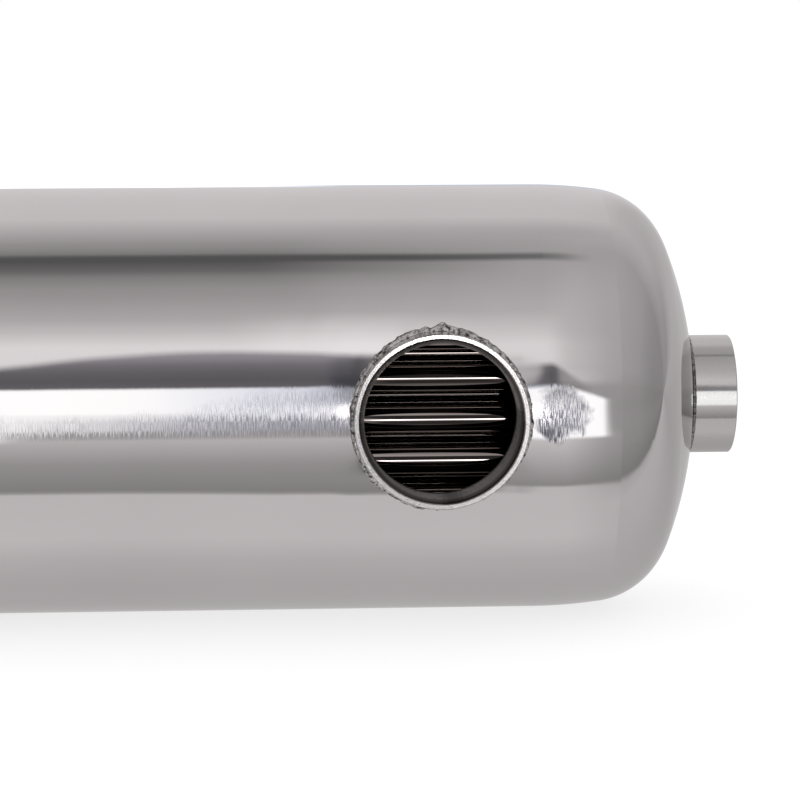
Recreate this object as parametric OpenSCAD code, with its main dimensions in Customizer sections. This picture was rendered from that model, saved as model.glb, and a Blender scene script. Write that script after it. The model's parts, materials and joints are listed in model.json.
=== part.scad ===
// Shell-and-tube heat exchanger for heating pool water.
// Pool water enters and leaves through the two large sockets on the side of the shell.
// Heating water runs through the tubes, from the small socket on one head to the other.
// Origin: centre of the left heating socket's rim. +X runs along the shell, the pool sockets face -Y.

/* [Shell] */
// Length over the rims of the two heating sockets
overall_len = 480; // [360:1:900]
// Outside diameter of the shell tube
shell_od = 134; // [110:1:180]
// Wall of the shell tube
shell_wall = 1.5; // [1:0.1:3]

/* [Heads] */
// Length of the skirt of a head, from its seam to the knuckle
skirt_len = 21.5; // [16:0.5:40]
// How far the skirt draws in over its length
skirt_drop = 1.4; // [0.4:0.1:3]
// Outside radius of the knuckle
knuckle_r = 25.5; // [18:0.5:36]
// Outside radius of the crown
crown_r = 130; // [110:1:200]
// Wall of a head
head_wall = 1.5; // [1:0.1:3]

/* [Pool sockets] */
// Bore of a pool socket, the root diameter of its thread
pool_bore = 47.8; // [40:0.1:56]
// Wall of a pool socket
pool_socket_wall = 1.85; // [1.5:0.05:4]
// How far the rim of a pool socket stands off the shell
pool_standoff = 7; // [5:0.5:16]
// How far a pool socket reaches into the shell tube
pool_inset = 9.5; // [3:0.5:11]
// Gap along the shell between a pool socket and the tubesheet beside it
pool_end_gap = 2.25; // [1:0.05:60]

/* [Heating sockets] */
// Bore of a heating socket, the root diameter of its thread
heating_bore = 33.2; // [26:0.1:42]
// Wall of a heating socket
heating_socket_wall = 2.15; // [1.5:0.05:4]
// How far the rim of a heating socket stands off the top of the crown
heating_standoff = 12.6; // [8:0.1:20]
// How far a heating socket reaches into its head, from the top of the crown
heating_inset = 9.4; // [5:0.1:14]

/* [Socket mouths] */
// Chamfer inside the mouth of every socket
mouth_chamfer = 0.5; // [0.2:0.1:0.8]
// Bevel round the outside of every rim
rim_bevel = 0.3; // [0.1:0.1:0.5]

/* [Tube bundle] */
// Gap between the outermost tubes and the shell tube
bundle_gap = 10.5; // [7:0.5:16]
// Gap between neighbouring tubes
tube_gap = 2.5; // [1.5:0.1:4]
// Wall of a tube
tube_wall = 0.6; // [0.4:0.1:1.2]
// How far a tube stands out of its tubesheet
tube_stub = 2; // [0.5:0.5:6]
// Turn of the bundle about the shell's axis, in degrees
bundle_turn = 3; // [0:0.5:30]
// Thickness of a tubesheet
tubesheet_t = 4; // [3:0.5:8]

/* [Welds] */
// Leg of the fillet weld round a pool socket
pool_weld_leg = 1.6; // [1:0.1:3]
// Leg of the fillet weld round a heating socket
heating_weld_leg = 1.1; // [0.5:0.1:2]
// Gap that every fitted piece leaves to its seat
seat_gap = 0.05; // [0.02:0.01:0.1]

/* [Hidden] */
$fn = 96;
// Facets of the wide arcs of a head, and steps of the weld round a pool socket
fine = 360;
weld_steps = 72;
// Rings of tubes round the middle tube, which make the nine columns named in NODES
tube_rings = 4;
// The knuckle is drawn this much larger, so that the three arcs of a head cross and don't only touch
blend = 0.001;

shell_r = shell_od / 2;
shell_bore_r = shell_r - shell_wall;
pool_r = pool_bore / 2 + pool_socket_wall;
heating_r = heating_bore / 2 + heating_socket_wall;
pool_socket_len = pool_standoff + shell_wall + pool_inset;
heating_socket_len = heating_standoff + heating_inset;

// A head's outline is three arcs that run into each other: skirt, knuckle and crown.
// Each centre is [radius, height above the seam].
skirt_r = (skirt_len * skirt_len + skirt_drop * skirt_drop) / (2 * skirt_drop);
skirt_angle = asin(skirt_len / skirt_r);
skirt_centre = [shell_r - skirt_r, 0];
knuckle_centre = [
    shell_r - skirt_drop - knuckle_r * cos(skirt_angle),
    skirt_len - knuckle_r * sin(skirt_angle)
];
crown_rise = sqrt(pow(crown_r - knuckle_r, 2) - pow(knuckle_centre[0], 2));
crown_centre = [0, knuckle_centre[1] - crown_rise];
crown_angle = atan2(crown_rise, knuckle_centre[0]);
head_depth = crown_centre[1] + crown_r;

// Stations along the shell
left_seam_x = head_depth + heating_standoff;
right_seam_x = overall_len - left_seam_x;
shell_len = right_seam_x - left_seam_x;
pool_setback = pool_r + pool_end_gap + tubesheet_t;
left_pool_x = left_seam_x + pool_setback;
right_pool_x = right_seam_x - pool_setback;
pool_rim_y = -(shell_r + pool_standoff);

// The tubes stand in a hexagon, in upright columns that face the pool sockets.
// Their pitch fills the shell up to the bundle's gap.
columns = 2 * tube_rings + 1;
tube_pitch = (shell_bore_r - bundle_gap + tube_gap / 2) / (tube_rings + 0.5);
tube_od = tube_pitch - tube_gap;
tube_len = shell_len + 2 * tube_stub;
function tubes_in_column(column) = columns - abs(column - tube_rings);

polished = [0.78, 0.78, 0.78];
machined = [0.66, 0.66, 0.66];
welded = [0.52, 0.51, 0.5];
drawn = [0.58, 0.57, 0.56];

// Placing: each module puts what is drawn along +Z where it belongs.
// Along the shell from a station, pointing to +X
module along_shell(x) {
    translate([x, 0, 0]) rotate([0, 90, 0]) children();
}

// Outwards from the left end of the shell tube
module out_of_left_end() {
    translate([left_seam_x, 0, 0]) rotate([0, -90, 0]) children();
}

// Outwards from the right end of the shell tube
module out_of_right_end() {
    translate([right_seam_x, 0, 0]) rotate([0, 90, 0]) children();
}

// Out of the side of the shell, from its axis towards -Y
module out_of_side(x) {
    translate([x, 0, 0]) rotate([90, 0, 0]) children();
}

// Half section of a head as a solid, drawn in by a wall: the skirt and crown discs overlap,
// and their corner is cut back to the knuckle
module head_section(wall) {
    reach = 3 * knuckle_r;
    difference() {
        intersection() {
            translate(skirt_centre) circle(skirt_r - wall, $fn = fine);
            translate(crown_centre) circle(crown_r - wall, $fn = fine);
            square([shell_od, head_depth + 1]);
        }
        translate(knuckle_centre) difference() {
            polygon([
                [0, 0],
                [reach * cos(skirt_angle), reach * sin(skirt_angle)],
                [reach * cos(crown_angle), reach * sin(crown_angle)]
            ]);
            circle(knuckle_r - wall + blend, $fn = fine);
        }
    }
}

// Dished head: skirt, knuckle and crown of even wall, with the hole for its socket
module head() {
    color(polished) rotate_extrude() difference() {
        head_section(0);
        head_section(head_wall);
        square([heating_r + seat_gap, head_depth + 1]);
    }
}

// Threaded socket as a plain sleeve from z = 0 to its rim, with a chamfered mouth
module socket(outer_r, bore_r, len) {
    color(machined) rotate_extrude() polygon([
        [bore_r, 0],
        [outer_r, 0],
        [outer_r, len - rim_bevel],
        [outer_r - rim_bevel, len],
        [bore_r + mouth_chamfer, len],
        [bore_r, len - mouth_chamfer]
    ]);
}

module shell() {
    color(polished) difference() {
        along_shell(left_seam_x) cylinder(r = shell_r, h = shell_len);
        along_shell(left_seam_x - 1) cylinder(r = shell_bore_r, h = shell_len + 2);
        for (x = [left_pool_x, right_pool_x])
            out_of_side(x) cylinder(r = pool_r + seat_gap, h = shell_r + 1);
    }
}

module pool_socket(x) {
    out_of_side(x) translate([0, 0, -pool_rim_y - pool_socket_len])
        socket(pool_r, pool_bore / 2, pool_socket_len);
}

module heating_socket() {
    translate([0, 0, head_depth - heating_inset])
        socket(heating_r, heating_bore / 2, heating_socket_len);
}

// Section of the fillet weld at one bearing round a pool socket: root, toe on the shell, two points
// of its bulging face and the toe on the socket. Local Z runs out of the shell's side.
function on_shell(r, bearing) =
    [r * cos(bearing), r * sin(bearing), sqrt(pow(shell_r + seat_gap, 2) - pow(r * sin(bearing), 2))];

function lifted(point, height) = point + [0, 0, height];

function weld_section(bearing) =
    let (inner = pool_r + seat_gap, leg = pool_weld_leg)
    [
        on_shell(inner, bearing),
        on_shell(inner + leg, bearing),
        lifted(on_shell(inner + 0.8 * leg, bearing), 0.5 * leg),
        lifted(on_shell(inner + 0.5 * leg, bearing), 0.8 * leg),
        lifted(on_shell(inner, bearing), leg)
    ];

// Saddle-shaped fillet weld that runs round a pool socket where it meets the shell
module pool_weld(x) {
    sections = [for (i = [0 : weld_steps - 1]) weld_section(360 * i / weld_steps)];
    corners = len(sections[0]);
    faces = [for (i = [0 : weld_steps - 1], j = [0 : corners - 1])
        let (i_next = (i + 1) % weld_steps, j_next = (j + 1) % corners)
        each [
            [i * corners + j, i * corners + j_next, i_next * corners + j],
            [i * corners + j_next, i_next * corners + j_next, i_next * corners + j]
        ]
    ];
    color(welded) out_of_side(x)
        polyhedron(points = [for (section = sections) each section], faces = faces);
}

// Fillet weld round a heating socket, seated on the crown
module heating_weld() {
    inner = heating_r + seat_gap;
    seat_z = crown_centre[1] + sqrt(pow(crown_r, 2) - pow(inner, 2));
    color(welded) rotate_extrude() difference() {
        polygon([
            [inner, seat_z - heating_weld_leg],
            [inner + heating_weld_leg, seat_z - heating_weld_leg],
            [inner + heating_weld_leg, seat_z],
            [inner, seat_z + heating_weld_leg]
        ]);
        translate(crown_centre) circle(crown_r + seat_gap, $fn = 2 * fine);
    }
}

// Puts its children, drawn along +X, at every tube of a column, counted from the pool sockets' side
module at_tubes(column) {
    count = tubes_in_column(column);
    y = (column - tube_rings) * tube_pitch * sin(60);
    rotate([bundle_turn, 0, 0]) for (i = [0 : count - 1])
        translate([0, y, (i - (count - 1) / 2) * tube_pitch]) children();
}

// Tubesheet, seen through the heating sockets: a disc drilled for every tube
module tubesheet(x) {
    color(drawn) difference() {
        along_shell(x) cylinder(r = shell_bore_r - seat_gap, h = tubesheet_t);
        for (column = [0 : columns - 1])
            at_tubes(column) along_shell(x - 1) cylinder(d = tube_od + 2 * seat_gap, h = tubesheet_t + 2);
    }
}

// One upright column of tubes, open at both ends
module tube_column(column) {
    color(drawn) at_tubes(column) along_shell(left_seam_x - tube_stub) difference() {
        cylinder(d = tube_od, h = tube_len);
        translate([0, 0, -1]) cylinder(d = tube_od - 2 * tube_wall, h = tube_len + 2);
    }
}

shell();
out_of_left_end() head();  // left_head
out_of_right_end() head();  // right_head
pool_socket(left_pool_x);  // left_pool_socket
pool_socket(right_pool_x);  // right_pool_socket
pool_weld(left_pool_x);  // left_pool_weld
pool_weld(right_pool_x);  // right_pool_weld
out_of_left_end() heating_socket();  // left_heating_socket
out_of_right_end() heating_socket();  // right_heating_socket
out_of_left_end() heating_weld();  // left_heating_weld
out_of_right_end() heating_weld();  // right_heating_weld
tubesheet(left_seam_x);  // left_tubesheet
tubesheet(right_seam_x - tubesheet_t);  // right_tubesheet
for (column = [0 : columns - 1])
    tube_column(column);
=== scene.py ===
"""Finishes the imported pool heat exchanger: metals, welds, threads and a plain studio to show it in."""
import json
from functools import partial
from math import cos, exp, pi, radians, sin, sqrt

import bpy
from bpy.props import FloatProperty, FloatVectorProperty, PointerProperty, StringProperty
from mathutils import Matrix, Vector, noise

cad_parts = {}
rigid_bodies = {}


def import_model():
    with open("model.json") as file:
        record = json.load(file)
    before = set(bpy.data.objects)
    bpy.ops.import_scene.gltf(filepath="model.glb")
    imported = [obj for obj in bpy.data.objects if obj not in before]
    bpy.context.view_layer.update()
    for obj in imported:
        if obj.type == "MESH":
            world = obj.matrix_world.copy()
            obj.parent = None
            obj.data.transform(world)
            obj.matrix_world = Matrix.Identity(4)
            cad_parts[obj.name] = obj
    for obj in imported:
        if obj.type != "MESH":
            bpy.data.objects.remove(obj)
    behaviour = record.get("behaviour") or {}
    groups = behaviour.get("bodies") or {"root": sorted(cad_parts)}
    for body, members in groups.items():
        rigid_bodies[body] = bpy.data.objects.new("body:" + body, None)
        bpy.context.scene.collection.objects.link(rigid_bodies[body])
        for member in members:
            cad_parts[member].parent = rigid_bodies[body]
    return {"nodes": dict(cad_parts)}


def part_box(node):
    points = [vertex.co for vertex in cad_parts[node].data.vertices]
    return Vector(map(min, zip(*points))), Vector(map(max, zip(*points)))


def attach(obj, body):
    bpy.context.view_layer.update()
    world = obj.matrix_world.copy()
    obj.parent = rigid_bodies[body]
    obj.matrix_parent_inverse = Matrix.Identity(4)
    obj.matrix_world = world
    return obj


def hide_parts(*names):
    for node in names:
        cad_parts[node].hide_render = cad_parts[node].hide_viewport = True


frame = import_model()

bl_info = {
    "name": "Pool heat exchanger finish",
    "version": (1, 0, 0),
    "blender": (4, 5, 0),
    "location": "View3D > Sidebar > Exchanger",
    "description": "Finishes the packed pool heat exchanger and sets up its studio",
    "category": "Object",
}

MM = 0.001
NODES = frame["nodes"]
SIDES = ("left", "right")

# Blender's starting objects aren't part of the exchanger
for thing in list(bpy.data.objects):
    if thing.type in {"MESH", "LIGHT", "CAMERA"} and thing.name not in NODES:
        bpy.data.objects.remove(thing)
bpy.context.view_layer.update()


def middle(node):
    """Middle of a CAD node's box."""
    low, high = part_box(node)
    return (low + high) / 2


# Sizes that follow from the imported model
SHELL_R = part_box("shell")[1].z
MID_X = middle("shell").x
PORT_X = middle("right_pool_socket").x
PORT_OFFSET = PORT_X - MID_X
POOL_LOW, POOL_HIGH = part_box("right_pool_socket")
POOL_R = (POOL_HIGH.x - POOL_LOW.x) / 2
HEATING_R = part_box("right_heating_socket")[1].z
TUBE_COLUMNS = [name for name in NODES if name.startswith("tube_column")]

# How a size is shown
LENGTH = {"unit": "LENGTH", "precision": 5}


class ExchangerSizes(bpy.types.PropertyGroup):
    """Sizes of the details that the finish adds."""
    thread_pitch: FloatProperty(
        name="Thread pitch", description="Pitch of the pipe threads, 11 to the inch",
        default=2.309 * MM, **LENGTH)
    thread_depth: FloatProperty(
        name="Thread depth", description="How far the thread's crests stand into the bore",
        default=1.2 * MM, **LENGTH)
    pool_bore: FloatProperty(
        name="Pool bore radius", description="Radius at the roots of the pool sockets' thread",
        default=23.9 * MM, **LENGTH)
    heating_bore: FloatProperty(
        name="Heating bore radius", description="Radius at the roots of the heating sockets' thread",
        default=16.6 * MM, **LENGTH)
    pool_weld_leg: FloatProperty(
        name="Pool weld leg", description="Mean leg of the weld round a pool socket, along the shell",
        default=1.25 * MM, **LENGTH)
    pool_weld_rise: FloatProperty(
        name="Pool weld rise", description="Mean height of the weld round a pool socket",
        default=2.2 * MM, **LENGTH)
    heating_weld_leg: FloatProperty(
        name="Heating weld leg", description="Mean leg of the weld round a heating socket",
        default=0.95 * MM, **LENGTH)
    swell: FloatProperty(
        name="Weld swell", description="Distance between the swells along the weld round a pool socket",
        default=8.796 * MM, **LENGTH)
    seal_bead: FloatProperty(
        name="Seal bead", description="Thickness of the seal weld round a tube's end",
        default=1.1 * MM, **LENGTH)


class ExchangerColours(bpy.types.PropertyGroup):
    """Colours of the metals, as sRGB hex values."""
    polished: StringProperty(
        name="Polished steel", description="Colour of the polished body", default="D2D0D0")
    clouded: StringProperty(
        name="Clouded polish", description="Colour of the faint clouds in the polish", default="CBC9C9")
    scuffed: StringProperty(
        name="Scuffed polish", description="Colour of the dull lines and patches", default="6F6F77")
    turned: StringProperty(
        name="Turned steel", description="Colour of the sockets", default="C2C0BF")
    nicked: StringProperty(
        name="Nicks", description="Colour of the nicks in the sockets", default="8C8986")
    # The threaded bores' colour is painted shade, lightened on the thread's crests as a painted glint
    bore: StringProperty(
        name="Threaded bore", description="Colour of the sockets' threads", default="4C4845")
    weld: StringProperty(
        name="Weld metal", description="Colour of the brushed weld beads", default="D6D4D2")
    fused: StringProperty(
        name="Fused weld metal", description="Colour of the fine welds, duller than the brushed ones",
        default="9A9694")
    scale: StringProperty(
        name="Weld scale", description="Colour of the dull film in the hollows of a weld", default="4E4A48")
    # The tubes' colour is darker than bare drawn steel; the darkening is painted shade for the tubes deep
    # inside the shell
    tube: StringProperty(
        name="Drawn tube", description="Colour of the tubes", default="8C8784")
    annealed: StringProperty(
        name="Annealed tube", description="Warmer colour that annealing leaves on the tubes",
        default="7C7470")
    sheet: StringProperty(
        name="Tubesheet", description="Colour of the tubesheets and the body's inside", default="BDBAB7")
    stained: StringProperty(
        name="Stain", description="Colour of the stains on the tubesheets", default="9A928B")


class StudioSettings(bpy.types.PropertyGroup):
    """Camera and floor."""
    lens: FloatProperty(
        name="Lens", description="Focal length on a 36 mm sensor", default=120.94, subtype="DISTANCE_CAMERA")
    stand: FloatVectorProperty(
        name="Camera place", description="Camera's place, seen from the right pool socket's axis",
        default=(-53.392 * MM, -848.106 * MM, 88.364 * MM), subtype="TRANSLATION")
    yaw: FloatProperty(
        name="Yaw", description="Turn of the camera to the right",
        default=radians(3.033), subtype="ANGLE")
    pitch: FloatProperty(
        name="Pitch", description="How far the camera looks down",
        default=radians(6.017), subtype="ANGLE")
    roll: FloatProperty(
        name="Roll", description="Roll of the camera", default=radians(-0.24), subtype="ANGLE")
    floor: StringProperty(
        name="Floor", description="Colour of the pale floor", default="F4F4F4")


def linear(hex_colour):
    """sRGB hex value as a linear colour with alpha."""
    channels = [int(hex_colour[i:i + 2], 16) / 255 for i in (0, 2, 4)]
    return [c / 12.92 if c <= 0.04045 else ((c + 0.055) / 1.055) ** 2.4 for c in channels] + [1.0]


def add_node(tree, kind, sockets=None, out=0, **settings):
    """Adds a node and returns one of its outputs; a socket takes a number, a colour or an output to link."""
    made = tree.nodes.new(kind)
    for name, value in settings.items():
        setattr(made, name, value)
    for key, value in (sockets or {}).items():
        if isinstance(value, bpy.types.NodeSocket):
            tree.links.new(value, made.inputs[key])
        else:
            made.inputs[key].default_value = value
    return made.outputs[out] if made.outputs else None


def empty_tree(owner):
    """Empties a material's or a world's node tree, and returns what adds nodes to it."""
    owner.use_nodes = True
    owner.node_tree.nodes.clear()
    return partial(add_node, owner.node_tree)


def new_metal(name):
    """Empty material: returns it, what adds its nodes, and Object coordinates, whole and split in three."""
    material = bpy.data.materials.new(name)
    add = empty_tree(material)
    place = add("ShaderNodeTexCoord", out="Object")
    return material, add, place, add("ShaderNodeSeparateXYZ", {0: place}).node.outputs


def finish_metal(material, add, colour, over, rough, normal):
    """Closes a material with a metal shader; other colours lie over the first one by their shares."""
    tone = linear(colour)
    for share, laid in over:
        tone = add("ShaderNodeMix", {0: share, 6: tone, 7: linear(laid)}, out=2, data_type="RGBA")
    shader = add("ShaderNodeBsdfPrincipled", {
        "Base Color": tone, "Metallic": 1.0, "Roughness": rough, "Normal": normal})
    add("ShaderNodeOutputMaterial", {"Surface": shader})
    return material


# Polishing lines: drawn gap and length
LINE_GAP = 0.27 * MM
LINE_LENGTH = 3.2 * MM
# Depth at which the front's finishes begin and are full
FRONT_BEGINS = -40 * MM
FRONT_FULL = -60 * MM
# Scuffed belt: where its top starts to rise and is up, seen from a pool socket's axis; the top's two heights
# and its unevenness; and where the belt begins and is full, below its top and at its foot
BELT_RISES = -78 * MM
BELT_UP = -48 * MM
BELT_LOW_TOP = 0.2 * MM
BELT_HIGH_TOP = 8.5 * MM
BELT_UNEVEN = 9 * MM
BELT_FADES = 2 * MM
BELT_FULL = 7 * MM
BELT_FOOT = -5.4 * MM
BELT_FOOT_FULL = -4.4 * MM
# Dull patch: its middle, seen from a pool socket's axis towards the head, its grain and its edge
PATCH_MIDDLE = (36 * MM, 0, 1.2 * MM)
PATCH_GRAIN = 7 * MM
PATCH_RAGGED = 11 * MM
PATCH_EDGE = 14 * MM
PATCH_FULL = 11.5 * MM
# The patch gets duller from here down to here
PATCH_BRIGHT = 4 * MM
PATCH_DULL = -4 * MM
# Clouds of the polish, waves of the sheet, and the closer waves that welding draws round a pool socket
CLOUD_SIZE = 45 * MM
WAVE_SIZE = 42 * MM
WAVE_DEPTH = 0.12 * MM
PULL_SIZE = 17 * MM
PULL_BEGINS = 52 * MM
PULL_FULL = 30 * MM
PULL_SHARE = 1.8


def port_place(add, x, z):
    """Place seen from the nearer pool socket's axis, X towards the head; that X; and X from the middle."""
    from_mid = add("ShaderNodeMath", {0: x, 1: MID_X}, operation="SUBTRACT")
    to_end = add("ShaderNodeMath", {0: from_mid}, operation="ABSOLUTE")
    from_port = add("ShaderNodeMath", {0: to_end, 1: PORT_OFFSET}, operation="SUBTRACT")
    return add("ShaderNodeCombineXYZ", {0: from_port, 2: z}), from_port, from_mid


def polishing_lines(add, x, y, z):
    """Fine lines round the body. They are about 0.02 mm apart, and are drawn coarser so that they show."""
    angle = add("ShaderNodeMath", {0: z, 1: y}, operation="ARCTAN2")
    along = add("ShaderNodeMath", {0: x, 1: 1 / LINE_GAP}, operation="MULTIPLY")
    across = add("ShaderNodeMath", {0: angle, 1: SHELL_R / LINE_LENGTH}, operation="MULTIPLY")
    place = add("ShaderNodeCombineXYZ", {0: along, 1: across})
    return add("ShaderNodeTexNoise", {"Vector": place, "Scale": 1.0, "Detail": 2.0}, noise_dimensions="2D")


def scuffed_belt(add, place, from_port, z, front):
    """Where the lines show: along the front between the pool sockets, and higher up next to each of them."""
    top = add("ShaderNodeMapRange", {
        0: from_port, 1: BELT_RISES, 2: BELT_UP, 3: BELT_LOW_TOP, 4: BELT_HIGH_TOP})
    uneven = add("ShaderNodeTexNoise", {"Vector": place, "Scale": 1 / BELT_UNEVEN, "Detail": 3.0})
    top = add("ShaderNodeMath", {0: uneven, 1: BELT_UNEVEN, 2: top}, operation="MULTIPLY_ADD")
    below_top = add("ShaderNodeMath", {0: top, 1: z}, operation="SUBTRACT")
    below_top = add("ShaderNodeMapRange", {0: below_top, 1: BELT_FADES, 2: BELT_FULL})
    above_foot = add("ShaderNodeMapRange", {0: z, 1: BELT_FOOT, 2: BELT_FOOT_FULL})
    between = add("ShaderNodeMath", {0: from_port, 1: 0.0}, operation="LESS_THAN")
    belt = below_top
    for limit in (above_foot, front, between):
        belt = add("ShaderNodeMath", {0: belt, 1: limit}, operation="MULTIPLY")
    return belt


def dull_patch(add, place, port, front):
    """Hand-finished patch on the head's side of each pool socket, with a ragged edge."""
    centred = add("ShaderNodeVectorMath", {0: port, 1: PATCH_MIDDLE}, operation="SUBTRACT")
    reach = add("ShaderNodeVectorMath", {0: centred}, out="Value", operation="LENGTH")
    ragged = add("ShaderNodeTexNoise", {"Vector": place, "Scale": 1 / PATCH_GRAIN, "Detail": 5.0})
    reach = add("ShaderNodeMath", {0: ragged, 1: PATCH_RAGGED, 2: reach}, operation="MULTIPLY_ADD")
    patch = add("ShaderNodeMapRange", {0: reach, 1: PATCH_EDGE, 2: PATCH_FULL})
    return add("ShaderNodeMath", {0: patch, 1: front}, operation="MULTIPLY")


def waved_normal(add, place, port, front):
    """Waviness of a few hundredths of a millimetre, stronger where welding has drawn the sheet."""
    wave = add("ShaderNodeTexNoise", {"Vector": place, "Scale": 1 / WAVE_SIZE, "Detail": 1.0})
    drawn = add("ShaderNodeTexNoise", {"Vector": place, "Scale": 1 / PULL_SIZE, "Detail": 1.0})
    reach = add("ShaderNodeVectorMath", {0: port}, out="Value", operation="LENGTH")
    pull = add("ShaderNodeMapRange", {0: reach, 1: PULL_BEGINS, 2: PULL_FULL, 4: PULL_SHARE},
               interpolation_type="SMOOTHSTEP")
    pull = add("ShaderNodeMath", {0: pull, 1: front}, operation="MULTIPLY")
    height = add("ShaderNodeMath", {0: drawn, 1: pull, 2: wave}, operation="MULTIPLY_ADD")
    return add("ShaderNodeBump", {"Strength": 0.5, "Distance": WAVE_DEPTH, "Height": height})


# Mirror-polished stainless: almost a mirror, with fine polishing lines round the body that break up the edge
# of the highlights, a slow waviness that grows towards the welds, a dull hand-finished patch beside each pool
# socket, and the duller mill finish on the inside.
def mirror_polished_stainless(colours):
    material, add, place, (x, y, z) = new_metal("mirror_polished_stainless")
    port, from_port, from_mid = port_place(add, x, z)
    front = add("ShaderNodeMapRange", {0: y, 1: FRONT_BEGINS, 2: FRONT_FULL})
    lines = polishing_lines(add, x, y, z)
    belt = scuffed_belt(add, place, from_port, z, front)
    patch = dull_patch(add, place, port, front)
    # The inside faces the middle and isn't polished
    normal = add("ShaderNodeNewGeometry", out="Normal")
    centred = add("ShaderNodeCombineXYZ", {0: from_mid, 1: y, 2: z})
    outward = add("ShaderNodeVectorMath", {0: normal, 1: centred}, out="Value", operation="DOT_PRODUCT")
    inside = add("ShaderNodeMath", {0: outward, 1: 0.0}, operation="LESS_THAN")
    rough = 0.045
    for finish, more in ((belt, 0.04), (patch, 0.12), (inside, 0.5)):
        rough = add("ShaderNodeMath", {0: finish, 1: more, 2: rough}, operation="MULTIPLY_ADD")
    # Clouds in the polish, dull lines where it is worn, and the grey of the inside
    cloud = add("ShaderNodeTexNoise", {"Vector": place, "Scale": 1 / CLOUD_SIZE, "Detail": 3.0})
    worn = add("ShaderNodeMath", {0: belt, 1: 0.42}, operation="MULTIPLY")
    worn = add("ShaderNodeMath", {0: worn, 1: patch}, operation="MAXIMUM")
    dull_lines = add("ShaderNodeMapRange", {0: lines, 1: 0.4, 2: 0.62, 4: 0.9})
    worn = add("ShaderNodeMath", {0: worn, 1: dull_lines}, operation="MULTIPLY")
    dull_foot = add("ShaderNodeMapRange", {0: z, 1: PATCH_BRIGHT, 2: PATCH_DULL, 3: 0.12, 4: 0.55})
    worn = add("ShaderNodeMath", {0: patch, 1: dull_foot, 2: worn},
               operation="MULTIPLY_ADD", use_clamp=True)
    over = ((cloud, colours.clouded), (worn, colours.scuffed), (inside, colours.sheet))
    # The lines lean the surface up or down by a few degrees
    round_body = add("ShaderNodeVectorMath", {0: place, 1: (-1, 0, 0)}, operation="CROSS_PRODUCT")
    round_body = add("ShaderNodeVectorMath", {0: round_body}, operation="NORMALIZE")
    lean = 0.004
    for finish, more in ((patch, 0.28), (belt, 0.085)):
        lean = add("ShaderNodeMath", {0: finish, 1: more, 2: lean}, operation="MULTIPLY_ADD")
    either_way = add("ShaderNodeMath", {0: lines, 1: 0.5}, operation="SUBTRACT")
    lean = add("ShaderNodeMath", {0: lean, 1: either_way}, operation="MULTIPLY")
    leaning = add("ShaderNodeVectorMath", {0: round_body, "Scale": lean}, operation="SCALE")
    waved = waved_normal(add, place, port, front)
    leaning = add("ShaderNodeVectorMath", {0: waved, 1: leaning}, operation="ADD")
    leaning = add("ShaderNodeVectorMath", {0: leaning}, operation="NORMALIZE")
    return finish_metal(material, add, colours.polished, over, rough, leaning)


# Tool lines of the sockets, about 0.1 mm apart and drawn coarser so that they show, and their nicks
TOOL_LINE_GAP = 0.25 * MM
NICK_SIZE = 0.7 * MM
TOOL_LINE_DEPTH = 0.01 * MM
# Painted shade on a thread, measured from its roots' radius: where it ends and is full, then where a painted
# glint on the crests starts to thin it and where it is thinnest
BORE_SHADE_ENDS = 0.4 * MM
BORE_SHADE_FULL = 0.1 * MM
CREST_GLINT_BEGINS = -0.45 * MM
CREST_GLINT_TOP = -1.0 * MM


# Turned stainless: bright, with fine tool lines that run round the socket's axis and nicks from handling. Its
# threaded bore is painted dark as shade, with a painted glint that lightens the thread's crests.
def turned_stainless(colours, name, centre, axis, bore, wear):
    material, add, place, _ = new_metal(name)
    local = add("ShaderNodeVectorMath", {0: place, 1: centre}, operation="SUBTRACT")
    parts = add("ShaderNodeSeparateXYZ", {0: local}).node.outputs
    across = [parts[i] for i in range(3) if i != axis]
    flat = add("ShaderNodeCombineXYZ", {0: across[0], 1: across[1]})
    radius = add("ShaderNodeVectorMath", {0: flat}, out="Value", operation="LENGTH")
    reach = add("ShaderNodeMath", {0: parts[axis], 1: radius}, operation="ADD")
    feed = add("ShaderNodeMath", {0: reach, 1: 1 / TOOL_LINE_GAP}, operation="MULTIPLY")
    lines = add("ShaderNodeTexNoise", {"W": feed, "Scale": 1.0, "Detail": 2.0}, noise_dimensions="1D")
    nicks = add("ShaderNodeTexNoise", {"Vector": place, "Scale": 1 / NICK_SIZE, "Detail": 4.0})
    rough = add("ShaderNodeMapRange", {0: lines, 1: 0.3, 2: 0.7, 3: 0.06, 4: 0.14})
    worn = add("ShaderNodeMapRange", {0: nicks, 1: 0.56, 2: 0.75, 4: 0.35 * wear})
    rough = add("ShaderNodeMath", {0: rough, 1: worn}, operation="ADD")
    scratched = add("ShaderNodeMapRange", {0: nicks, 1: 0.5, 2: 0.66, 4: wear})
    # Painted shade darkens the threaded bore, and a painted glint on the crests lightens it
    bore_shade = add("ShaderNodeMapRange", {0: radius, 1: bore + BORE_SHADE_ENDS, 2: bore + BORE_SHADE_FULL})
    crest_glint = add("ShaderNodeMapRange", {0: radius, 1: bore + CREST_GLINT_BEGINS, 2: bore + CREST_GLINT_TOP, 4: 0.2})
    bore_shade = add("ShaderNodeMath", {0: bore_shade, 1: crest_glint}, operation="SUBTRACT")
    over = ((scratched, colours.nicked), (bore_shade, colours.bore))
    height = add("ShaderNodeMath", {0: lines, 1: nicks}, operation="ADD")
    bump = add("ShaderNodeBump", {"Strength": 0.25, "Distance": TOOL_LINE_DEPTH, "Height": height})
    return finish_metal(material, add, colours.turned, over, rough, bump)


# Grain of the weld metal
WELD_GRAIN = 1.3 * MM
WELD_GRAIN_DEPTH = 0.3 * MM


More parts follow.
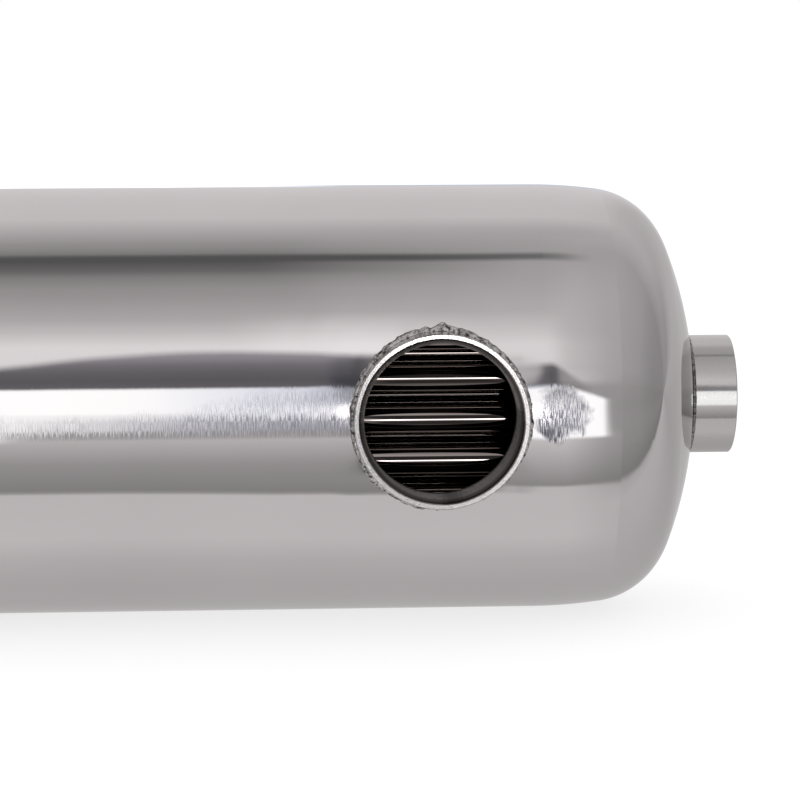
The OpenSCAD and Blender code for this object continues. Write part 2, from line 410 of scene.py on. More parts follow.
# Weld metal, wire-brushed after welding: pale and grainy, with a thin dull film left in the deepest hollows.
def brushed_weld_metal(name, metal, film_colour):
    material, add, place, _ = new_metal(name)
    grain = add("ShaderNodeTexNoise", {
        "Vector": place, "Scale": 1 / WELD_GRAIN, "Detail": 5.0, "Roughness": 0.6})
    bare = add("ShaderNodeMapRange", {0: grain, 1: 0.38, 2: 0.56})
    rough = add("ShaderNodeMapRange", {0: grain, 1: 0.35, 2: 0.65, 3: 0.45, 4: 0.14})
    bump = add("ShaderNodeBump", {"Strength": 0.9, "Distance": WELD_GRAIN_DEPTH, "Height": grain})
    return finish_metal(material, add, film_colour, ((bare, metal),), rough, bump)


# Die lines of the tubes are a few hundredths of a millimetre wide, and are drawn wider so that they show
DIE_LINE_WIDTH = 0.3 * MM
DIE_LINE_LENGTH = 60 * MM
DIE_LINE_DEPTH = 0.008 * MM
ANNEAL_SIZE = 14 * MM


# Bright drawn tube: die lines that run along the tube and a faint warm tone from annealing, on a colour
# darkened as painted shade for the tubes deep inside the shell.
def bright_drawn_tube(colours):
    material, add, place, _ = new_metal("bright_drawn_tube")
    stretched = add("ShaderNodeMapping", {
        "Vector": place, "Scale": (1 / DIE_LINE_LENGTH, 1 / DIE_LINE_WIDTH, 1 / DIE_LINE_WIDTH)})
    lines = add("ShaderNodeTexNoise", {"Vector": stretched, "Scale": 1.0, "Detail": 2.0})
    rough = add("ShaderNodeMapRange", {0: lines, 1: 0.35, 2: 0.7, 3: 0.02, 4: 0.05})
    anneal = add("ShaderNodeTexNoise", {"Vector": place, "Scale": 1 / ANNEAL_SIZE, "Detail": 2.0})
    bump = add("ShaderNodeBump", {"Strength": 0.15, "Distance": DIE_LINE_DEPTH, "Height": lines})
    return finish_metal(material, add, colours.tube, ((anneal, colours.annealed),), rough, bump)


# Facing rings and stains of the tubesheets
FACING_GAP = 0.3 * MM
FACING_DEPTH = 0.02 * MM
STAIN_SIZE = 8 * MM


# Faced tubesheet: satin, with the rings that facing on a lathe leaves round the middle.
def faced_tubesheet(colours):
    material, add, place, (_, y, z) = new_metal("faced_tubesheet")
    flat = add("ShaderNodeCombineXYZ", {0: y, 1: z})
    radius = add("ShaderNodeVectorMath", {0: flat}, out="Value", operation="LENGTH")
    rings = add("ShaderNodeMath", {0: radius, 1: 2 * pi / FACING_GAP}, operation="MULTIPLY")
    rings = add("ShaderNodeMath", {0: rings}, operation="SINE")
    stain = add("ShaderNodeTexNoise", {"Vector": place, "Scale": 1 / STAIN_SIZE, "Detail": 4.0})
    rough = add("ShaderNodeMapRange", {0: stain, 3: 0.22, 4: 0.4})
    bump = add("ShaderNodeBump", {"Strength": 0.3, "Distance": FACING_DEPTH, "Height": rings})
    return finish_metal(material, add, colours.sheet, ((stain, colours.stained),), rough, bump)


def finish_node(name, material):
    """Gives a CAD node its material."""
    slots = NODES[name].data.materials
    slots.clear()
    slots.append(material)


def keep_piece(name, mesh):
    """Makes a mesh a piece that rides with the exchanger."""
    piece = bpy.data.objects.new(name, mesh)
    bpy.context.scene.collection.objects.link(piece)
    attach(piece, "root")
    return piece


def weld_ring(name, sections, metal):
    """Joins closed sections, each a list of points, into a ring of weld metal."""
    corners = len(sections[0])
    faces = []
    for i in range(len(sections)):
        here, ahead = i * corners, (i + 1) % len(sections) * corners
        for k in range(corners):
            m = (k + 1) % corners
            faces.append((here + k, ahead + k, ahead + m, here + m))
    mesh = bpy.data.meshes.new(name)
    mesh.from_pydata([point for section in sections for point in section], [], faces)
    mesh.validate()
    mesh.shade_smooth()
    mesh.materials.append(metal)
    return keep_piece(name, mesh)


def baked_piece(name, tree, inputs, material, points=()):
    """Runs a Geometry Nodes tree once, on points if it needs them, and keeps its result as a plain piece."""
    carrier = bpy.data.objects.new(name + "_carrier", bpy.data.meshes.new(name + "_carrier"))
    carrier.data.from_pydata(points, [], [])
    bpy.context.scene.collection.objects.link(carrier)
    modifier = carrier.modifiers.new("build", "NODES")
    modifier.node_group = tree
    sockets = {item.name: item.identifier for item in tree.interface.items_tree if item.in_out == "INPUT"}
    for key, value in {**inputs, "Finish": material}.items():
        modifier[sockets[key]] = value
    bpy.context.view_layer.update()
    graph = bpy.context.evaluated_depsgraph_get()
    mesh = bpy.data.meshes.new_from_object(carrier.evaluated_get(graph))
    if not mesh.polygons:
        raise RuntimeError(f"{name} came out empty")
    mesh.name = name
    carrier.modifiers.clear()
    bpy.data.objects.remove(carrier)
    keep_piece(name, mesh)


def start_tree(name, numbers, vectors=()):
    """Geometry Nodes tree with named inputs; returns the tree, what adds its nodes, and its input sockets."""
    tree = bpy.data.node_groups.new(name, "GeometryNodeTree")
    kinds = {"Geometry": "Geometry", **dict.fromkeys(numbers, "Float"), **dict.fromkeys(vectors, "Vector")}
    for label, kind in {**kinds, "Finish": "Material"}.items():
        tree.interface.new_socket(label, in_out="INPUT", socket_type="NodeSocket" + kind)
    tree.interface.new_socket("Geometry", in_out="OUTPUT", socket_type="NodeSocketGeometry")
    add = partial(add_node, tree)
    return tree, add, add("NodeGroupInput").node.outputs


def end_tree(add, geometry, finish, smooth):
    """Realizes what the tree made and gives it its material."""
    realized = add("GeometryNodeRealizeInstances", {0: geometry})
    shaded = add("GeometryNodeSetShadeSmooth", {"Geometry": realized, "Shade Smooth": smooth})
    painted = add("GeometryNodeSetMaterial", {"Geometry": shaded, "Material": finish})
    add("NodeGroupOutput", {0: painted})


# Thread ridge: steps in a turn, its width as a share of the pitch, and how far it is sunk into the bore
TURN_STEPS = 96
RIDGE_SHARE = 0.9
RIDGE_SUNK = 0.1 * MM


def thread_tree():
    """A thread ridge: a kite-shaped section swept along a spiral that climbs along Z, then set in place."""
    tree, add, given = start_tree("thread_ridge", ("Radius", "Pitch", "Depth", "Turns"), ("Place", "Turn"))
    height = add("ShaderNodeMath", {0: given["Turns"], 1: given["Pitch"]}, operation="MULTIPLY")
    spiral = add("GeometryNodeCurveSpiral", {
        "Resolution": TURN_STEPS, "Rotations": given["Turns"], "Start Radius": given["Radius"],
        "End Radius": given["Radius"], "Height": height})
    upright = add("GeometryNodeSetCurveNormal", {"Curve": spiral}, mode="Z_UP")
    width = add("ShaderNodeMath", {0: given["Pitch"], 1: RIDGE_SHARE}, operation="MULTIPLY")
    section = add("GeometryNodeCurvePrimitiveQuadrilateral", {
        "Width": width, "Bottom Height": RIDGE_SUNK, "Top Height": given["Depth"]}, mode="KITE")
    section = add("GeometryNodeTransform", {"Geometry": section, "Rotation": (0, 0, -pi / 2)})
    ridge = add("GeometryNodeCurveToMesh", {"Curve": upright, "Profile Curve": section, "Fill Caps": True})
    set_down = add("GeometryNodeTransform", {
        "Geometry": ridge, "Translation": given["Place"], "Rotation": given["Turn"]})
    end_tree(add, set_down, given["Finish"], False)
    return tree


# Seal welds: steps round a tube's end and round the bead
SEAL_STEPS = 24
SEAL_BEAD_STEPS = 6


def seal_weld_tree():
    """A round bead at every point of the carrier, facing along X."""
    tree, add, given = start_tree("seal_welds", ("Radius", "Bead"))
    path = add("GeometryNodeCurvePrimitiveCircle", {"Resolution": SEAL_STEPS, "Radius": given["Radius"]})
    section = add("GeometryNodeCurvePrimitiveCircle", {
        "Resolution": SEAL_BEAD_STEPS, "Radius": given["Bead"]})
    bead = add("GeometryNodeCurveToMesh", {"Curve": path, "Profile Curve": section})
    points = add("GeometryNodeMeshToPoints", {"Mesh": given["Geometry"]})
    beads = add("GeometryNodeInstanceOnPoints", {
        "Points": points, "Instance": bead, "Rotation": (0, pi / 2, 0)})
    end_tree(add, beads, given["Finish"], True)
    return tree


class ExchangerOperator:
    """What the exchanger's operators share."""
    bl_options = {"REGISTER", "UNDO"}
    sizes = property(lambda self: bpy.context.scene.exchanger_sizes)
    colours = property(lambda self: bpy.context.scene.exchanger_colours)
    studio = property(lambda self: bpy.context.scene.exchanger_studio)


class EXCHANGER_OT_body(ExchangerOperator, bpy.types.Operator):
    """Polish the shell and both heads"""
    bl_idname = "exchanger.body"
    bl_label = "Body"

    def execute(self, context):
        polish = mirror_polished_stainless(self.colours)
        for name in ("shell", "left_head", "right_head"):
            finish_node(name, polish)
        return {"FINISHED"}


class EXCHANGER_OT_sockets(ExchangerOperator, bpy.types.Operator):
    """Finish the four sockets as turned steel"""
    bl_idname = "exchanger.sockets"
    bl_label = "Sockets"

    def execute(self, context):
        # Each kind's axis, bore and wear
        kinds = {"pool": (1, self.sizes.pool_bore, 0.6), "heating": (0, self.sizes.heating_bore, 0.06)}
        for side in SIDES:
            for kind, (axis, bore, wear) in kinds.items():
                node = f"{side}_{kind}_socket"
                finish_node(node, turned_stainless(
                    self.colours, f"turned_{node}", middle(node), axis, bore, wear))
        return {"FINISHED"}


class EXCHANGER_OT_tubes(ExchangerOperator, bpy.types.Operator):
    """Finish the tubes and the tubesheets"""
    bl_idname = "exchanger.tubes"
    bl_label = "Tubes"

    def execute(self, context):
        if not TUBE_COLUMNS:
            raise RuntimeError("the frame has no tube columns")
        drawn = bright_drawn_tube(self.colours)
        for name in TUBE_COLUMNS:
            finish_node(name, drawn)
        faced = faced_tubesheet(self.colours)
        for side in SIDES:
            finish_node(f"{side}_tubesheet", faced)
        return {"FINISHED"}


class EXCHANGER_OT_pool_welds(ExchangerOperator, bpy.types.Operator):
    """Lay a rough weld bead round each pool socket"""
    bl_idname = "exchanger.pool_welds"
    bl_label = "Pool socket welds"

    steps = 720
    face_points = 13
    # How far the root lies in the socket and the shell, and how far the face may sink into them
    root_in = 0.1 * MM
    root_down = 0.15 * MM
    sunk = 0.1 * MM
    # Sizes in millimetres of the weld's slow drift, its lumps, its grain and its fine grain
    drift_size, lump_size, grain_size, fine_size = 11, 3.5, 0.75, 0.3
    # The peak at the top, and how much it and the sag at the foot add to the leg
    peak_bearing = radians(88)
    peak_width = 0.07
    peak_leg = 1.0 * MM
    sag_leg = 0.6 * MM
    # Shares of drift and lumps in the leg and the rise, the smallest leg, and how round the face is
    leg_drift, leg_lumps, least_leg = 0.35, 0.4, 0.25
    rise_drift, rise_lumps = -0.18, 0.2
    roundness = 0.8
    # How far swells, grain and fine grain stand out
    swell_height, grain_height, fine_height = 0.07 * MM, 0.196 * MM, 0.084 * MM

    def execute(self, context):
        metal = brushed_weld_metal("brushed_weld_metal", self.colours.weld, self.colours.scale)
        for seed, side in enumerate(SIDES):
            centre_x = middle(f"{side}_pool_socket").x
            sections = [self.section(2 * pi * i / self.steps, centre_x, seed)
                        for i in range(self.steps)]
            bead = weld_ring(f"{side}_pool_bead", sections, metal)
            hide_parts(f"{side}_pool_weld")
        return {"FINISHED"}

    def section(self, bearing, centre_x, seed):
        """Section of the bead: its root, then its face from the toe on the shell to the toe on the socket."""
        around = Vector((cos(bearing), sin(bearing), 0)) * POOL_R / MM
        drift = noise.fractal(around / self.drift_size + Vector((0, 0, 20 * seed)), 0.8, 2.0, 4)
        lumps = noise.fractal(around / self.lump_size + Vector((0, 0, 7 + 20 * seed)), 0.9, 2.0, 4)
        peak = exp(-((bearing - self.peak_bearing) / self.peak_width) ** 2)
        swell = sin(2 * pi * bearing * POOL_R / self.sizes.swell)
        share = max(self.least_leg, 1 + self.leg_drift * drift + self.leg_lumps * lumps)
        leg = self.sizes.pool_weld_leg * share
        leg += self.peak_leg * peak + self.sag_leg * max(0.0, -sin(bearing)) ** 2
        rise = self.sizes.pool_weld_rise * (1 + self.rise_drift * drift + self.rise_lumps * lumps)
        points = [self.on_shell(POOL_R - self.root_in, bearing, -self.root_down, centre_x)]
        for k in range(self.face_points):
            t = k / (self.face_points - 1)
            grain = noise.noise(Vector((around.x, around.y, 9 * t + 40 * seed)) / self.grain_size)
            fine = noise.noise(Vector((around.x, around.y, 9 * t + 60 * seed)) / self.fine_size)
            bulge = self.swell_height * swell + self.grain_height * grain + self.fine_height * fine
            bulge *= sin(pi * t)
            out = max(leg * cos(t * pi / 2) ** self.roundness + bulge, -self.sunk)
            up = max(rise * sin(t * pi / 2) ** self.roundness + bulge, -self.sunk)
            points.append(self.on_shell(POOL_R + out, bearing, up, centre_x))
        return points

    def on_shell(self, radius, bearing, lift, centre_x):
        """A point round a pool socket's axis, lifted off the shell."""
        z = radius * sin(bearing)
        return (centre_x + radius * cos(bearing), -sqrt(SHELL_R ** 2 - z ** 2) - lift, z)


class EXCHANGER_OT_heating_welds(ExchangerOperator, bpy.types.Operator):
    """Lay a fine weld bead round each heating socket"""
    bl_idname = "exchanger.heating_welds"
    bl_label = "Heating socket welds"

    steps = 480
    face_points = 9
    # How far the bead starts off its seat, and how far its root lies in the socket and the crown
    seat_gap = 0.15 * MM
    root_in = 0.1 * MM
    # Sizes in millimetres of the weld's lumps and grain, the lumps' share in the leg, and the grain's height
    lump_size, grain_size, leg_lumps = 2.5, 0.6, 0.12
    grain_height = 0.08 * MM

    def execute(self, context):
        metal = brushed_weld_metal("fused_weld_metal", self.colours.fused, self.colours.scale)
        for seed, side in enumerate(SIDES):
            node = f"{side}_heating_weld"
            low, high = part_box(node)
            outward = -1 if side == "left" else 1
            seat = high.x if side == "left" else low.x
            root = seat + outward * self.seat_gap
            sections = [self.section(2 * pi * i / self.steps, root, outward, seed)
                        for i in range(self.steps)]
            bead = weld_ring(f"{side}_heating_bead", sections, metal)
            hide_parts(node)
        return {"FINISHED"}

    def section(self, bearing, root, outward, seed):
        """Section of the bead: its root, then its face from the toe on the crown to the toe on the socket."""
        around = Vector((cos(bearing), sin(bearing), 0)) * HEATING_R / MM
        lumps = noise.noise(around / self.lump_size + Vector((0, 0, 80 + 20 * seed)))
        leg = self.sizes.heating_weld_leg * (1 + self.leg_lumps * lumps)
        offsets = [(-self.root_in, -self.root_in)]
        for k in range(self.face_points):
            t = k / (self.face_points - 1)
            grain = noise.noise(Vector((around.x, around.y, 6 * t + 90 * seed)) / self.grain_size)
            bulge = sin(pi * t) * self.grain_height * grain
            offsets.append((leg * cos(t * pi / 2) + bulge, leg * sin(t * pi / 2) + bulge))
        # The two ends mirror each other, so the left bead's sections run the other way round
        y, z = cos(bearing), sin(bearing)
        return [(root + outward * up, (HEATING_R + out) * y, (HEATING_R + out) * z)
                for out, up in offsets[::outward]]


class EXCHANGER_OT_threads(ExchangerOperator, bpy.types.Operator):
    """Cut a pipe thread in each of the four sockets"""
    bl_idname = "exchanger.threads"
    bl_label = "Threads"

    # How far from a socket's two ends the thread stops
    mouth = 1.6 * MM
    tail = 1.4 * MM

    def execute(self, context):
        tree = thread_tree()
        for side in SIDES:
            self.thread(tree, f"{side}_pool", self.sizes.pool_bore, 1, -1)
            self.thread(tree, f"{side}_heating", self.sizes.heating_bore, 0, -1 if side == "left" else 1)
        return {"FINISHED"}

    def thread(self, tree, socket, bore, axis, outward):
        """Threads a socket, whose mouth looks outward along an axis, from its mouth inwards."""
        node = f"{socket}_socket"
        low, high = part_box(node)
        start = middle(node)
        start[axis] = low[axis] + self.mouth if outward < 0 else high[axis] - self.mouth
        turn = (-pi / 2, 0, 0) if axis == 1 else (0, -outward * pi / 2, 0)
        length = high[axis] - low[axis] - self.mouth - self.tail
        baked_piece(f"{socket}_thread", tree, {
            "Radius": bore, "Pitch": self.sizes.thread_pitch, "Depth": self.sizes.thread_depth,
            "Turns": length / self.sizes.thread_pitch, "Place": start, "Turn": turn},
            NODES[node].data.materials[0])


class EXCHANGER_OT_seal_welds(ExchangerOperator, bpy.types.Operator):
    """Lay a seal weld round every tube end on both tubesheets"""
    bl_idname = "exchanger.seal_welds"
    bl_label = "Tube end welds"

    # A larger step in height than this lies between two tubes of a column
    tube_step = 1.5 * MM

    def execute(self, context):
        tree = seal_weld_tree()
        metal = bpy.data.materials["fused_weld_metal"]
        ends = [end for name in TUBE_COLUMNS for end in self.tube_ends(NODES[name])]
        for side in SIDES:
            low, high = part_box(f"{side}_tubesheet")
            face = low.x if side == "left" else high.x
            baked_piece(f"{side}_seal_welds", tree, {
                "Radius": max(radius for _, _, radius in ends), "Bead": self.sizes.seal_bead / 2},
                metal, [(face, y, z) for y, z, _ in ends])
        return {"FINISHED"}

    def tube_ends(self, column):
        """Centre and radius of each tube of a column, whose tubes stand clear of one another in height."""
        corners = [column.matrix_world @ vertex.co for vertex in column.data.vertices]
        corners.sort(key=lambda corner: corner.z)
        tubes = [[corners[0]]]
        for before, corner in zip(corners, corners[1:]):
            if corner.z - before.z > self.tube_step:
                tubes.append([])
            tubes[-1].append(corner)
        for tube in tubes:
            across, up = [c.y for c in tube], [c.z for c in tube]
            yield (min(across) + max(across)) / 2, (min(up) + max(up)) / 2, (max(up) - min(up)) / 2


def tinted(stops, tint):
    """The same levels in a tint."""
    return tuple((at, tuple(level * channel for channel in tint)) for at, level in stops)


# The studio that the polish mirrors. Its parts are placed by the direction in which they lie:
#   rise       angle above level in degrees, 0 towards the viewer, 90 straight up, 180 level to the back
#   lamp_rise  angle above level, the same to the front and to the back
#   x, aside   how far the direction points to the right, and to either side
#   arched     rise, more of it away from the middle of the arch and near the heads
#   sloped     rise, more of it outwards
#   dipped     rise, more of it to the right below the wall, where the table's edge dips
# The arch's middle and its edge, its drop, and how far past its edge it goes on; then the drop near the heads
ARCH_MIDDLE, ARCH_EDGE = -0.012, 0.063
ARCH_DROP, ARCH_MOST = 6.5, 1.3
HEAD_DROP_BEGINS, HEAD_DROP_ENDS, HEAD_DROP = 0.145, 0.26, 11.5
SLOPE_BEGINS, SLOPE_ENDS, SLOPE = 0.2, 0.33, 6.5
DIP_BEGINS, DIP_ENDS, DIP = -0.05, 0.035, 2.1
DIP_TOP, DIP_FULL = -36.0, -40.0

ROOM_TINT = (1.02, 0.985, 0.995)
# Levels all round the room, by dipped
ROOM = tinted((
    # Back wall, from level down to the table
    (-180, 0.7), (-155, 0.53), (-110, 0.59), (-90, 0.65),
    # Table, with its edge
    (-73, 0.77), (-46.2, 0.75), (-44.6, 0.33),
    # Wall under the lamp, and the lamp's mount
    (-29, 0.45), (-16, 0.7), (-12.5, 0.5), (10, 0.5),
    # Backdrop over the lamp, bright at its foot
    (14, 0.9), (24, 1.08), (34, 1.08), (41, 0.82), (48, 0.63), (62, 0.47), (70, 0.42),
    # Ceiling, and the back wall's upper part
    (97, 0.46), (107, 0.63), (118, 0.8), (150, 0.8), (180, 0.72)), ROOM_TINT)
LAMP_REACH = ((0.12, 1), (0.2, 0))

# What is laid over the room, in order: where it shows, as shares by direction, then what its level goes by,
# if anything, and its level
LAYERS = (
    # Lighter corners at the room's two ends
    ({"rise": ((14, 0), (20, 0.75), (32, 0.75), (45, 1), (100, 1), (112, 0)),
      "x": ((-0.25, 1), (-0.12, 0), (0.01, 0), (0.03, 0.3), (0.1, 0.7), (0.22, 1))},
     "rise", tinted(((28, 0.75), (45, 0.73), (58, 0.69), (70, 0.63), (88, 0.54), (100, 0.6)), ROOM_TINT)),
    # Glow on the backdrop behind the camera
    ({"rise": ((20, 0), (26, 1), (34, 0.9), (38, 0.65), (47, 0.25), (52, 0)),
      "x": ((-0.01, 0), (0.027, 0.9), (0.045, 0.9), (0.07, 0.5), (0.14, 0.4), (0.18, 0))},
     None, (1.28, 1.24, 1.255)),
    # Foot of the right-hand corner, down to the table
    ({"rise": ((-56, 0), (-52, 1), (-17, 1), (-13, 0)),
      "x": ((0.085, 0), (0.107, 1))},
     "rise", tinted(((-52, 0.755), (-45, 0.75), (-43.4, 0.38), (-28, 0.64), (-16, 0.86)), ROOM_TINT)),
    # Shade under the seam between the backdrop and the ceiling
    ({"rise": ((66, 0), (69.5, 0.1), (73, 0.27), (77, 0.65), (81, 0.8), (85, 0.92), (89, 0.4), (93, 0.15),
               (98, 0)),
      "x": ((0, 1), (0.1, 0))},
     None, (0.095, 0.095, 0.095)),
    # The seam, which thins out beside the heads
    ({"rise": ((82, 0), (84.5, 1), (86.5, 1), (89, 0)),
      "aside": ((0.05, 1), (0.15, 0.6), (0.26, 0))},
     None, (0.13, 0.13, 0.13)),
    # The room's two ends
    ({"aside": ((0.18, 0), (0.38, 1))},
     "rise", tinted((
         (-180, 0.56), (-150, 0.53), (-100, 0.6), (-80, 0.63), (-56, 0.65), (-46.5, 0.58), (-42, 0.3),
         (-35, 0.34), (-22, 0.41), (-10, 0.44), (0, 0.43), (10, 0.46), (20, 0.53), (60, 0.56), (85, 0.55),
         (93, 0.54), (105, 0.63), (120, 0.69), (150, 0.62), (180, 0.57)), ROOM_TINT)),
    # Darker straight to either side
    ({"rise": ((-48, 0), (-44, 0.5), (20, 1), (140, 1), (165, 0)),
      "aside": ((0.4, 0), (0.75, 0.19), (0.93, 0.48), (1, 0.55))},
     None, (0.21, 0.202, 0.206)),
    # Dark arch over the lamp
    ({"arched": ((7, 0), (9, 1), (29, 1), (32.5, 0)),
      "x": ((-0.26, 0), (-0.16, 1), (0.085, 1), (0.09, 0.1), (0.104, 0.1), (0.109, 1), (0.152, 1),
            (0.168, 0.65), (0.22, 0.5), (0.28, 0))},
     "rise", tinted(((10, 0.19), (16, 0.16), (20, 0.19), (24, 0.25), (28, 0.4)), (1, 0.95, 1.04))),
    # Its darkest part, next to the camera's strip
    ({"rise": ((8.5, 0), (10, 1), (15, 1), (19, 0.45), (27, 0.35), (31, 0)),
      "x": ((0.018, 0), (0.033, 0.75), (0.05, 0.75), (0.06, 0))},
     None, (0.06, 0.065, 0.085)),
    # Foot of the strip lamp, dimmer and bluer to the right
    ({"lamp_rise": ((-12.2, 0), (-11.2, 1), (-4, 1), (0, 0)),
      "aside": LAMP_REACH},
     "x", ((-0.12, 1.6), (-0.08, 1.3), (-0.04, (0.95, 0.95, 1)), (0, (0.6, 0.61, 0.68)),
           (0.04, (0.5, 0.51, 0.58)))),
    # Strip lamp, in front of the exchanger and again behind it
    ({"lamp_rise": ((-6, 0), (-1.5, 1), (10.8, 1), (12.2, 0)),
      "aside": LAMP_REACH},
     "x", ((-0.12, 1.65), (-0.04, 1.58), (0, (1.2, 1.23, 1.35)), (0.015, (0.98, 1.01, 1.13)),
           (0.032, (0.64, 0.67, 0.76)))),
    # Side lamps, which show next to the pool sockets and on the heating sockets
    ({"sloped": ((9, 1), (11, 0)),
      "rise": ((-18, 0), (-16, 1)),
      "aside": ((0.094, 0), (0.098, 1), (0.318, 1), (0.342, 0))},
     None, (1.6, 1.6, 1.62)),
    # Narrow dark strip where the camera stands, with a bright gap in it that lights the tubes
    ({"rise": ((-38, 0), (-34, 1), (26, 1), (30, 0)),
      "x": ((0.037, 0), (0.046, 1), (0.0935, 1), (0.098, 0))},
     "rise", tinted((
         (-34, 0.1), (-14, 0.07), (-11.5, 0.09), (-10, 0.8), (-8.3, 0.95), (-6.5, 1.2), (-4.6, 1.6),
         (-4, 11), (0.9, 11), (1.6, 0.08), (28, 0.07)), (1.02, 0.98, 0.98))),
)


class EXCHANGER_OT_stage(ExchangerOperator, bpy.types.Operator):
    """Set up the floor, the studio light and the camera"""
    bl_idname = "exchanger.stage"
    bl_label = "Studio"

    floor_half = 30.0
    floor_gap = 0.05 * MM
    # What the camera sees of the floor: an even glow, and enough of the light on it for the shadow
    floor_glow = 0.72
    floor_lit = (0.36, 0.36, 0.36, 1)

    def execute(self, context):
        self.lay_floor()
        self.light_world()
        self.place_camera()
        context.scene.view_settings.view_transform = "Standard"
        return {"FINISHED"}

    def lay_floor(self):
        half, level = self.floor_half, -SHELL_R - self.floor_gap
        mesh = bpy.data.meshes.new("floor")
        corners = ((-half, -half), (half, -half), (half, half), (-half, half))
        mesh.from_pydata([(x, y, level) for x, y in corners], [], [(0, 1, 2, 3)])
        floor = bpy.data.objects.new("floor", mesh)
        bpy.context.scene.collection.objects.link(floor)
        # The polish mirrors the studio's table in its place
        floor.visible_glossy = False
        material = bpy.data.materials.new("pale_floor")
        add = empty_tree(material)
        glow = add("ShaderNodeEmission", {"Color": (1, 1, 1, 1), "Strength": self.floor_glow})
        lit = add("ShaderNodeBsdfDiffuse", {"Color": self.floor_lit})
        seen = add("ShaderNodeAddShader", {0: glow, 1: lit})
        plain = add("ShaderNodeBsdfDiffuse", {"Color": linear(self.studio.floor)})
        ray = add("ShaderNodeLightPath", out="Is Camera Ray")
        shown = add("ShaderNodeMixShader", {0: ray, 1: plain, 2: seen})
        add("ShaderNodeOutputMaterial", {"Surface": shown})
        mesh.materials.append(material)

    def light_world(self):
        """A white surround for the camera, and for the metal the studio that the polish mirrors."""
        world = bpy.data.worlds.new("studio")
        bpy.context.scene.world = world
        add = empty_tree(world)
        by = self.directions(add)
        room = self.profile(add, by["dipped"], ROOM)
        for shown, measure, level in LAYERS:
            share = 1.0
            for name, stops in shown.items():
                limit = self.profile(add, by[name], stops)
                share = add("ShaderNodeMath", {0: share, 1: limit}, operation="MULTIPLY")
            colour = self.profile(add, by[measure], level) if measure else (*level, 1)
            room = add("ShaderNodeMix", {0: share, 6: room, 7: colour}, out=2, data_type="RGBA")
        path = add("ShaderNodeLightPath").node.outputs
        mirrored = add("ShaderNodeMath", {
            0: path["Is Glossy Ray"], 1: path["Is Transmission Ray"]}, operation="MAXIMUM")
        colour = add("ShaderNodeMix", {0: mirrored, 6: (1, 1, 1, 1), 7: room}, out=2, data_type="RGBA")
        background = add("ShaderNodeBackground", {"Color": colour, "Strength": 1.0})
        add("ShaderNodeOutputWorld", {"Surface": background})

    def directions(self, add):
        """The measures of a direction by which the studio's parts are placed."""
        way = add("ShaderNodeTexCoord", out="Generated")
        x, y, z = add("ShaderNodeSeparateXYZ", {0: way}).node.outputs
        aside = add("ShaderNodeMath", {0: x}, operation="ABSOLUTE")
        forward = add("ShaderNodeMath", {0: y, 1: -1.0}, operation="MULTIPLY")
        depth = add("ShaderNodeMath", {0: y}, operation="ABSOLUTE")
        rises = []
        for level in (forward, depth):
            angle = add("ShaderNodeMath", {0: z, 1: level}, operation="ARCTAN2")
            rises.append(add("ShaderNodeMath", {0: angle}, operation="DEGREES"))
        rise, lamp_rise = rises
        arch = add("ShaderNodeMapRange", {0: x, 1: ARCH_MIDDLE, 2: ARCH_EDGE}, clamp=False)
        arch = add("ShaderNodeMath", {0: arch, 1: 2.0}, operation="POWER")
        arch = add("ShaderNodeMath", {0: arch, 1: ARCH_MOST}, operation="MINIMUM")
        arched = add("ShaderNodeMath", {0: arch, 1: ARCH_DROP, 2: rise}, operation="MULTIPLY_ADD")
        drop = add("ShaderNodeMapRange", {0: aside, 1: HEAD_DROP_BEGINS, 2: HEAD_DROP_ENDS, 4: HEAD_DROP})
        arched = add("ShaderNodeMath", {0: arched, 1: drop}, operation="ADD")
        slope = add("ShaderNodeMapRange", {0: aside, 1: SLOPE_BEGINS, 2: SLOPE_ENDS, 4: SLOPE})
        sloped = add("ShaderNodeMath", {0: rise, 1: slope}, operation="ADD")
        dip = add("ShaderNodeMapRange", {0: x, 1: DIP_BEGINS, 2: DIP_ENDS, 4: DIP})
        low = add("ShaderNodeMapRange", {0: rise, 1: DIP_TOP, 2: DIP_FULL})
        dipped = add("ShaderNodeMath", {0: dip, 1: low, 2: rise}, operation="MULTIPLY_ADD")
        return dict(x=x, aside=aside, rise=rise, lamp_rise=lamp_rise,
                    arched=arched, sloped=sloped, dipped=dipped)

    def profile(self, add, value, stops):
        """Levels along a value: (value, level) pairs, a level being a grey or a colour."""
        low, high = stops[0][0], stops[-1][0]
        share = add("ShaderNodeMapRange", {0: value, 1: low, 2: high})
        ramp = add("ShaderNodeValToRGB", {0: share})
        elements = ramp.node.color_ramp.elements
        while len(elements) < len(stops):
            elements.new(1.0)
        for element, (at, level) in zip(elements, stops):
            element.position = (at - low) / (high - low)
            element.color = (*level, 1) if isinstance(level, tuple) else (level, level, level, 1)
        return ramp

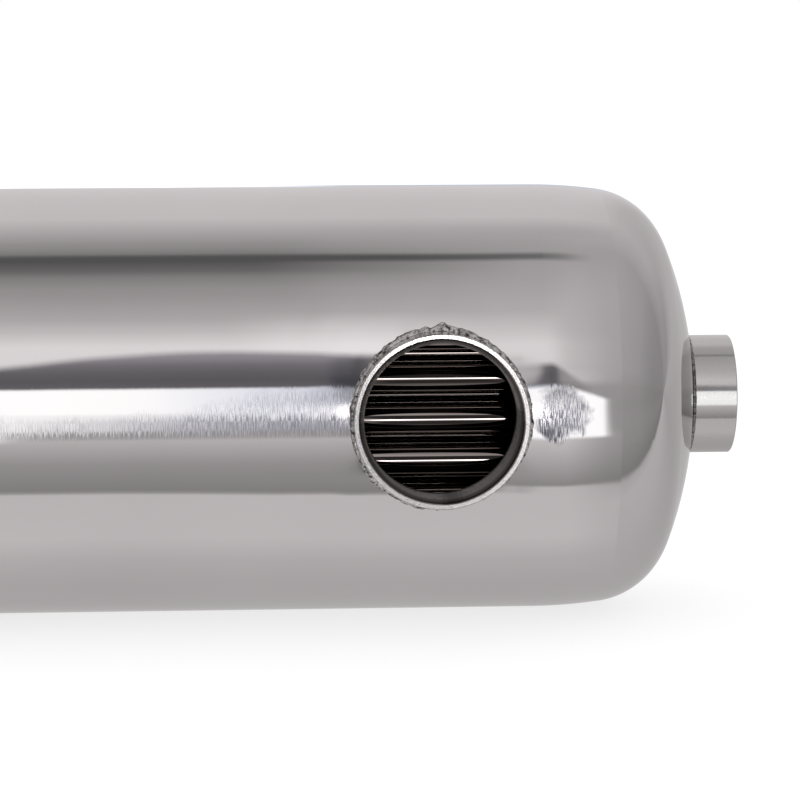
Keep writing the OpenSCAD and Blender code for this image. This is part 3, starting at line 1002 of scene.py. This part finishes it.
    def place_camera(self):
        studio = self.studio
        yaw, pitch = -studio.yaw, studio.pitch
        ahead = Vector((-sin(yaw) * cos(pitch), cos(yaw) * cos(pitch), -sin(pitch)))
        right = Vector((cos(yaw), sin(yaw), 0))
        up = right.cross(ahead)
        c, s = cos(studio.roll), sin(studio.roll)
        across, upright = c * right + s * up, c * up - s * right
        data = bpy.data.cameras.new("camera")
        data.lens = studio.lens
        data.sensor_width = 36
        data.clip_start = 0.01
        camera = bpy.data.objects.new("camera", data)
        bpy.context.scene.collection.objects.link(camera)
        turn = Matrix((across, upright, -ahead)).transposed().to_4x4()
        camera.matrix_world = Matrix.Translation(Vector((PORT_X, 0, 0)) + Vector(studio.stand)) @ turn
        bpy.context.scene.camera = camera


class EXCHANGER_PT_panel(bpy.types.Panel):
    """Shows the exchanger's settings and a button for each of its operators"""
    bl_idname = "EXCHANGER_PT_panel"
    bl_label = "Pool heat exchanger"
    bl_space_type = "VIEW_3D"
    bl_region_type = "UI"
    bl_category = "Exchanger"

    def draw(self, context):
        for name, group in GROUPS.items():
            for key in group.__annotations__:
                self.layout.prop(getattr(context.scene, name), key)
        for operator in OPERATORS:
            self.layout.operator(operator.bl_idname)


OPERATORS = (
    EXCHANGER_OT_body, EXCHANGER_OT_sockets, EXCHANGER_OT_tubes, EXCHANGER_OT_pool_welds,
    EXCHANGER_OT_heating_welds, EXCHANGER_OT_threads, EXCHANGER_OT_seal_welds, EXCHANGER_OT_stage)
GROUPS = {
    "exchanger_sizes": ExchangerSizes,
    "exchanger_colours": ExchangerColours,
    "exchanger_studio": StudioSettings,
}
CLASSES = (*GROUPS.values(), *OPERATORS, EXCHANGER_PT_panel)


def register():
    for cls in CLASSES:
        bpy.utils.register_class(cls)
    for name, group in GROUPS.items():
        setattr(bpy.types.Scene, name, PointerProperty(type=group))


def unregister():
    for name in GROUPS:
        delattr(bpy.types.Scene, name)
    for cls in reversed(CLASSES):
        bpy.utils.unregister_class(cls)


def main():
    register()
    for operator in OPERATORS:
        group, name = operator.bl_idname.split(".")
        getattr(getattr(bpy.ops, group), name)()


if __name__ == "__main__":
    main()
